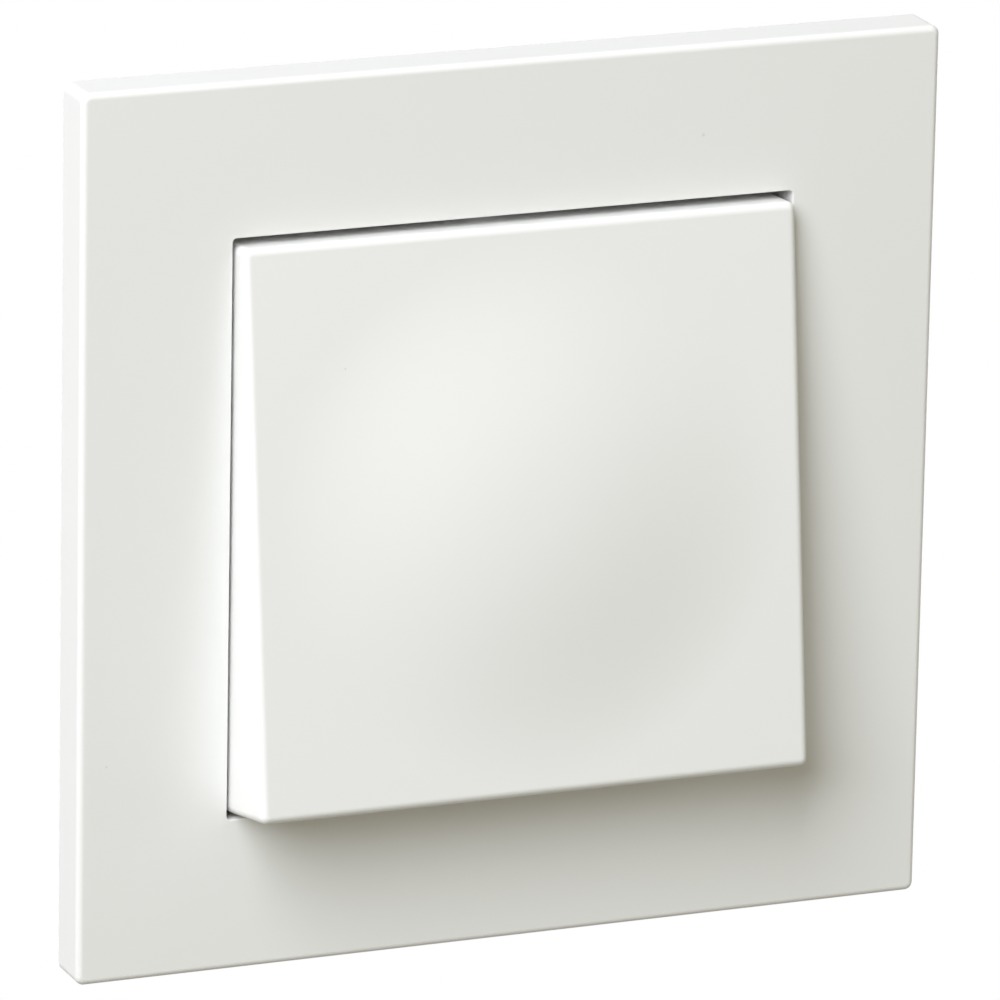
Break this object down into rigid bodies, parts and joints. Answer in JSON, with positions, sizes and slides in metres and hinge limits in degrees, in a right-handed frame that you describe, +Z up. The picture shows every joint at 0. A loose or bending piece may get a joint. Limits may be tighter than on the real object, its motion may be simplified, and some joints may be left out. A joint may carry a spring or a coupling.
{
  "type": "intermediate light switch",
  "caption": "Flush wall switch with a square cover frame, one large rocker with a shallow round dome, and its insert with seesaw contacts and claws.",
  "frame": {"origin": "on the wall plane at the centre of the cover frame, between the box screws", "axes": "+Z up, the front faces -Y, +X to the right seen from the front"},
  "size_m": [0.085, 0.04, 0.085],
  "materials": {
    "white_plastic": "pure white, semi-gloss moulded",
    "cradle_plastic": "light grey moulded",
    "carrier_plastic": "off-white moulded",
    "base_thermoset": "grey moulded",
    "zinc_steel": "zinc-plated stamped steel",
    "spring_steel": "bright rolled spring steel",
    "brass": "stamped brass",
    "contact_silver": "silver contact rivets",
    "plunger_plastic": "dark grey low-friction plastic",
    "button_plastic": "orange moulded"
  },
  "bodies": {
    "switch": {"cover_frame": "white_plastic", "support_ring": "zinc_steel", "carrier": "carrier_plastic", "base_housing": "base_thermoset", "fixing_screw_1": "zinc_steel", "fixing_screw_2": "zinc_steel", "fixing_screw_3": "zinc_steel", "fixing_screw_4": "zinc_steel", "grip_spring_1": "spring_steel", "grip_spring_2": "spring_steel", "grip_spring_3": "spring_steel", "grip_spring_4": "spring_steel", "clamp_spring_1": "spring_steel", "clamp_spring_2": "spring_steel", "clamp_spring_3": "spring_steel", "clamp_spring_4": "spring_steel", "common_strip_left": "brass", "common_strip_right": "brass", "crossing_strip_left": "brass", "crossing_strip_right": "brass", "fixed_contact_left_upper": "contact_silver", "fixed_contact_left_lower": "contact_silver", "fixed_contact_right_upper": "contact_silver", "fixed_contact_right_lower": "contact_silver"},
    "rocker": {"rocker_cap": "white_plastic", "rocker_cradle": "cradle_plastic", "plunger_spring_left": "spring_steel", "plunger_spring_right": "spring_steel"},
    "plunger_left": {"plunger_left": "plunger_plastic"},
    "seesaw_left": {"seesaw_left": "brass", "moving_contact_left_upper": "contact_silver", "moving_contact_left_lower": "contact_silver"},
    "claw_left": {"claw_left": "zinc_steel"},
    "claw_screw_left": {"claw_screw_left": "zinc_steel"},
    "plunger_right": {"plunger_right": "plunger_plastic"},
    "seesaw_right": {"seesaw_right": "brass", "moving_contact_right_upper": "contact_silver", "moving_contact_right_lower": "contact_silver"},
    "claw_right": {"claw_right": "zinc_steel"},
    "claw_screw_right": {"claw_screw_right": "zinc_steel"},
    "release_button_1": {"release_button_1": "button_plastic"},
    "release_button_2": {"release_button_2": "button_plastic"},
    "release_button_3": {"release_button_3": "button_plastic"},
    "release_button_4": {"release_button_4": "button_plastic"}
  },
  "joints": [
    {"name": "rocker_tilt", "type": "hinge", "parent": "switch", "child": "rocker", "pos_m": [0, -0.00855, 0], "axis": [1, 0, 0], "range_deg": [0, 13.7]},
    {"name": "plunger_left_slide", "type": "slide", "parent": "rocker", "child": "plunger_left", "axis": [0, -0.9929, 0.1193], "range_m": [0, 0.0012], "stiffness_N_per_m": 1000, "springref_m": -0.002, "deforming": ["plunger_spring_left"]},
    {"name": "seesaw_left_tilt", "type": "hinge", "parent": "switch", "child": "seesaw_left", "pos_m": [-0.009, 0.0075, 0], "axis": [1, 0, 0], "range_deg": [-16, 0]},
    {"name": "claw_left_swing", "type": "hinge", "parent": "switch", "child": "claw_left", "pos_m": [-0.0208, -0.0005, 0], "axis": [0, 0, 1], "range_deg": [0, 15]},
    {"name": "claw_screw_left_turn", "type": "hinge", "parent": "switch", "child": "claw_screw_left", "pos_m": [-0.0246, 0, 0], "axis": [0, -1, 0], "continuous": true},
    {"name": "plunger_right_slide", "type": "slide", "parent": "rocker", "child": "plunger_right", "axis": [0, -0.9929, 0.1193], "range_m": [0, 0.0012], "stiffness_N_per_m": 1000, "springref_m": -0.002, "deforming": ["plunger_spring_right"]},
    {"name": "seesaw_right_tilt", "type": "hinge", "parent": "switch", "child": "seesaw_right", "pos_m": [0.009, 0.0075, 0], "axis": [1, 0, 0], "range_deg": [-16, 0]},
    {"name": "claw_right_swing", "type": "hinge", "parent": "switch", "child": "claw_right", "pos_m": [0.0208, -0.0005, 0], "axis": [0, 0, -1], "range_deg": [0, 15]},
    {"name": "claw_screw_right_turn", "type": "hinge", "parent": "switch", "child": "claw_screw_right", "pos_m": [0.0246, 0, 0], "axis": [0, -1, 0], "continuous": true},
    {"name": "release_button_1_press", "type": "slide", "parent": "switch", "child": "release_button_1", "axis": [0, -1, 0], "range_m": [0, 0.0012], "stiffness_N_per_m": 2000, "springref_m": -0.0005, "deforming": ["clamp_spring_1"]},
    {"name": "release_button_2_press", "type": "slide", "parent": "switch", "child": "release_button_2", "axis": [0, -1, 0], "range_m": [0, 0.0012], "stiffness_N_per_m": 2000, "springref_m": -0.0005, "deforming": ["clamp_spring_2"]},
    {"name": "release_button_3_press", "type": "slide", "parent": "switch", "child": "release_button_3", "axis": [0, -1, 0], "range_m": [0, 0.0012], "stiffness_N_per_m": 2000, "springref_m": -0.0005, "deforming": ["clamp_spring_3"]},
    {"name": "release_button_4_press", "type": "slide", "parent": "switch", "child": "release_button_4", "axis": [0, -1, 0], "range_m": [0, 0.0012], "stiffness_N_per_m": 2000, "springref_m": -0.0005, "deforming": ["clamp_spring_4"]}
  ],
  "couplings": [
    {"joint": "seesaw_left_tilt", "follows": "rocker_tilt", "ratio": -1.1678},
    {"joint": "seesaw_right_tilt", "follows": "rocker_tilt", "ratio": -1.1678}
  ]
}
